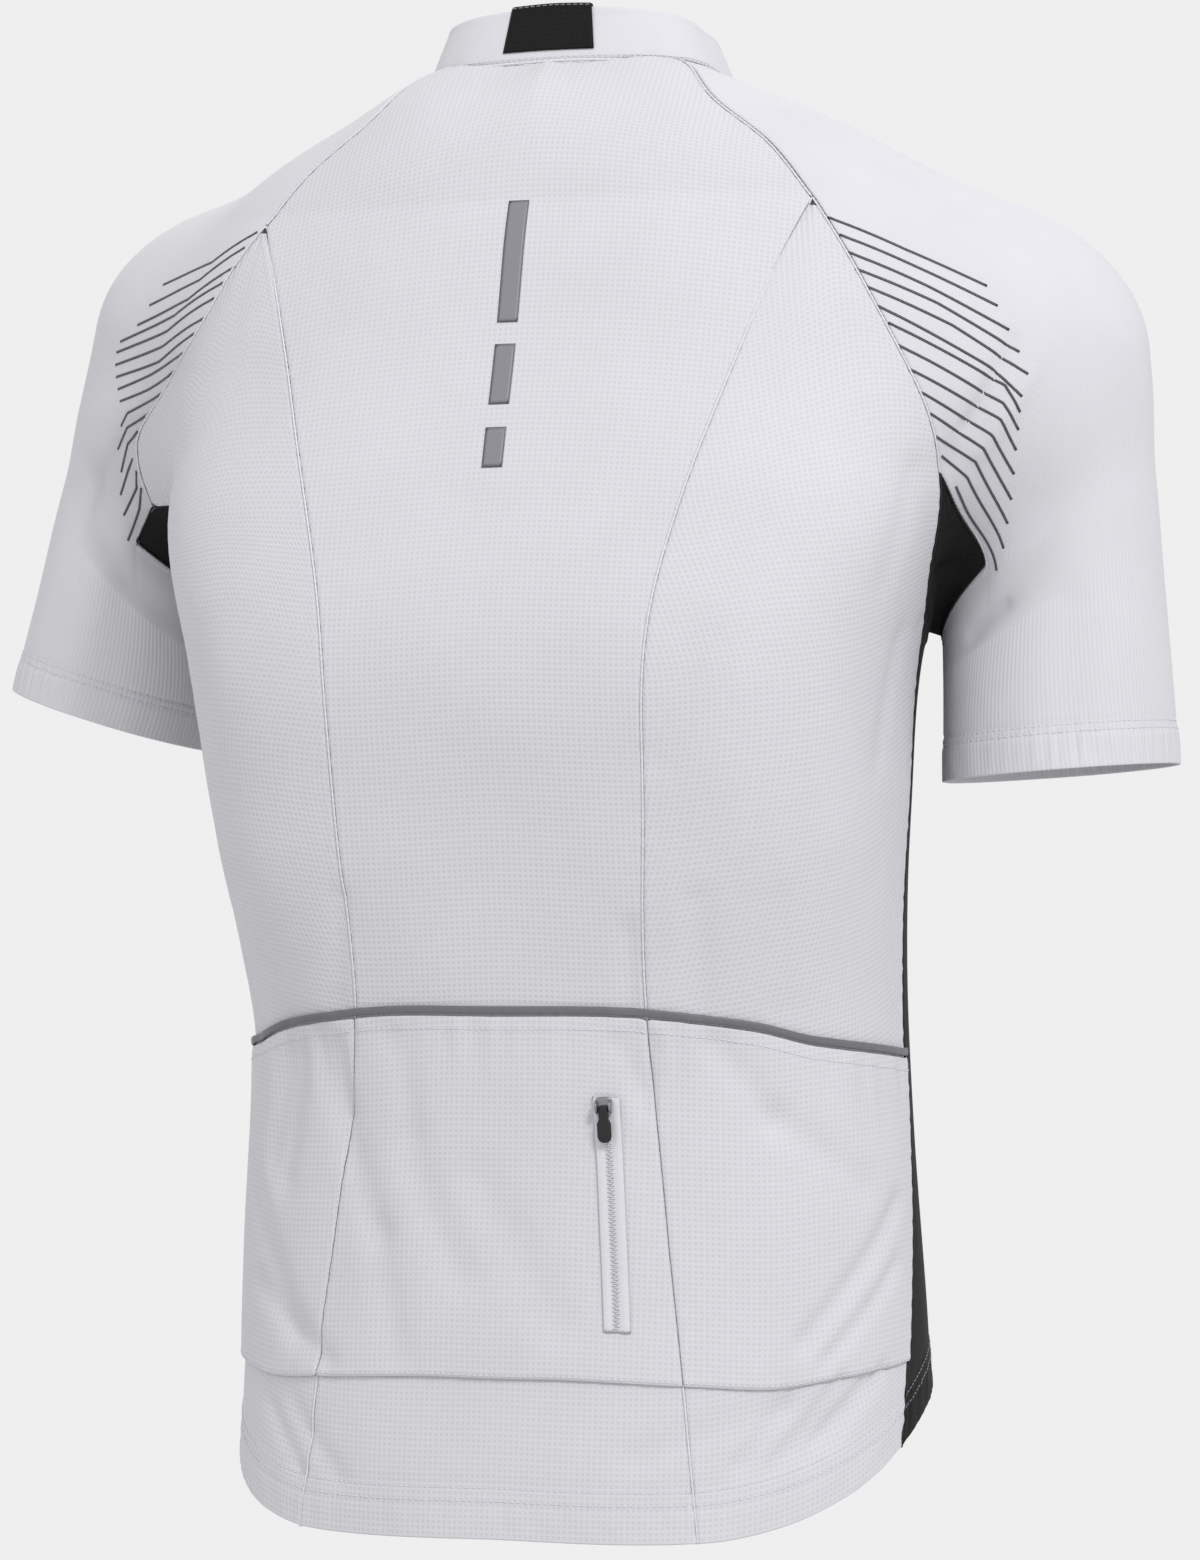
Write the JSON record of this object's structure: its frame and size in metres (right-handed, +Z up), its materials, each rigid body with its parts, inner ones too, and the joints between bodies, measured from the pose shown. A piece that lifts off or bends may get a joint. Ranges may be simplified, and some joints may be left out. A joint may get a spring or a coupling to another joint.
{
  "type": "cycling jersey",
  "caption": "Short-sleeved cycling jersey in its hollow worn form: stand collar, raglan sleeves, dark side panels, drop tail with back pockets and a full front zip.",
  "frame": {"origin": "middle of the neck seam ring, level with the seam's back half, where the wearer's neck and shoulders carry the jersey", "axes": "+Z up along the wearer's spine, +X towards the wearer's left arm, -Y out of the chest, so the back and its pockets face +Y"},
  "size_m": [0.5961, 0.2741, 0.7023],
  "materials": {
    "pale_knit": "matt fine polyester knit",
    "black_knit": "matt black mesh knit",
    "reflective_tape": "dark grey reflective edging",
    "zip_tape": "woven zip tape",
    "slider_metal": "satin metal",
    "pull_cord": "soft black pull tab"
  },
  "bodies": {
    "garment": {"back_centre": "pale_knit", "back_left": "pale_knit", "back_right": "pale_knit", "side_left": "black_knit", "side_right": "black_knit", "gusset_left": "black_knit", "gusset_right": "black_knit", "sleeve_left": "pale_knit", "sleeve_right": "pale_knit", "front_left": "pale_knit", "front_right": "pale_knit", "collar": "pale_knit", "collar_tab": "black_knit", "pocket_left": "pale_knit", "pocket_centre": "pale_knit", "pocket_right": "pale_knit", "pocket_binding": "reflective_tape", "pocket_zip": "zip_tape", "front_zip": "zip_tape", "pocket_zip_slider": "slider_metal", "front_zip_slider": "slider_metal"},
    "pocket_pull": {"pocket_zip_pull": "pull_cord"},
    "front_pull": {"front_zip_pull": "pull_cord"}
  },
  "joints": [
    {"name": "pocket_pull_hinge", "type": "hinge", "parent": "garment", "child": "pocket_pull", "pos_m": [-0.0506, 0.14452, -0.47136], "axis": [0.9836, 0.1739, -0.0481], "range_deg": [0, 150]},
    {"name": "front_pull_hinge", "type": "hinge", "parent": "garment", "child": "front_pull", "pos_m": [0, -0.0662, -0.01262], "axis": [-1, 0, 0], "range_deg": [0, 150]}
  ]
}
